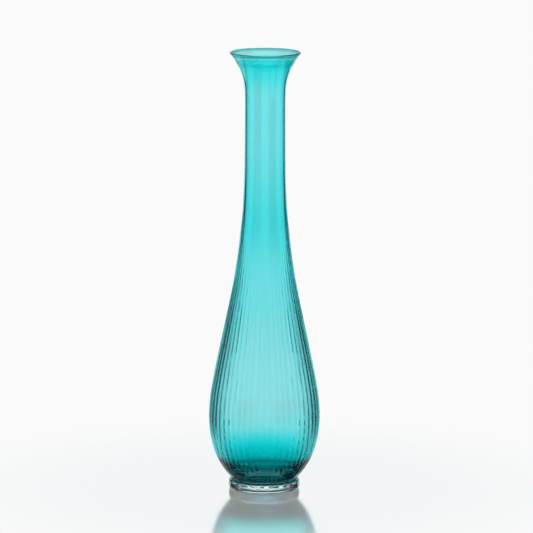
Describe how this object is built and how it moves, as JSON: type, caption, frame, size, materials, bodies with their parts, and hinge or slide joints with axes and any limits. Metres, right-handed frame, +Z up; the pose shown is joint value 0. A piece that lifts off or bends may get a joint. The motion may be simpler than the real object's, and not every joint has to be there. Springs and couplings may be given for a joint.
{
  "type": "bud vase",
  "caption": "Tall blown-glass bud vase with a ribbed belly, a narrow neck, a flared mouth and a low clear glass foot.",
  "frame": {"origin": "centre of the flat underside, on the vase's axis", "axes": "+Z up along the vase's axis, towards the mouth; +X and +Y are alike"},
  "size_m": [0.0756, 0.0756, 0.2987],
  "materials": {
    "teal_glass": "polished transparent teal glass",
    "clear_glass": "polished clear glass"
  },
  "bodies": {
    "root": {"teal_vessel": "teal_glass", "clear_foot": "clear_glass"}
  },
  "joints": []
}
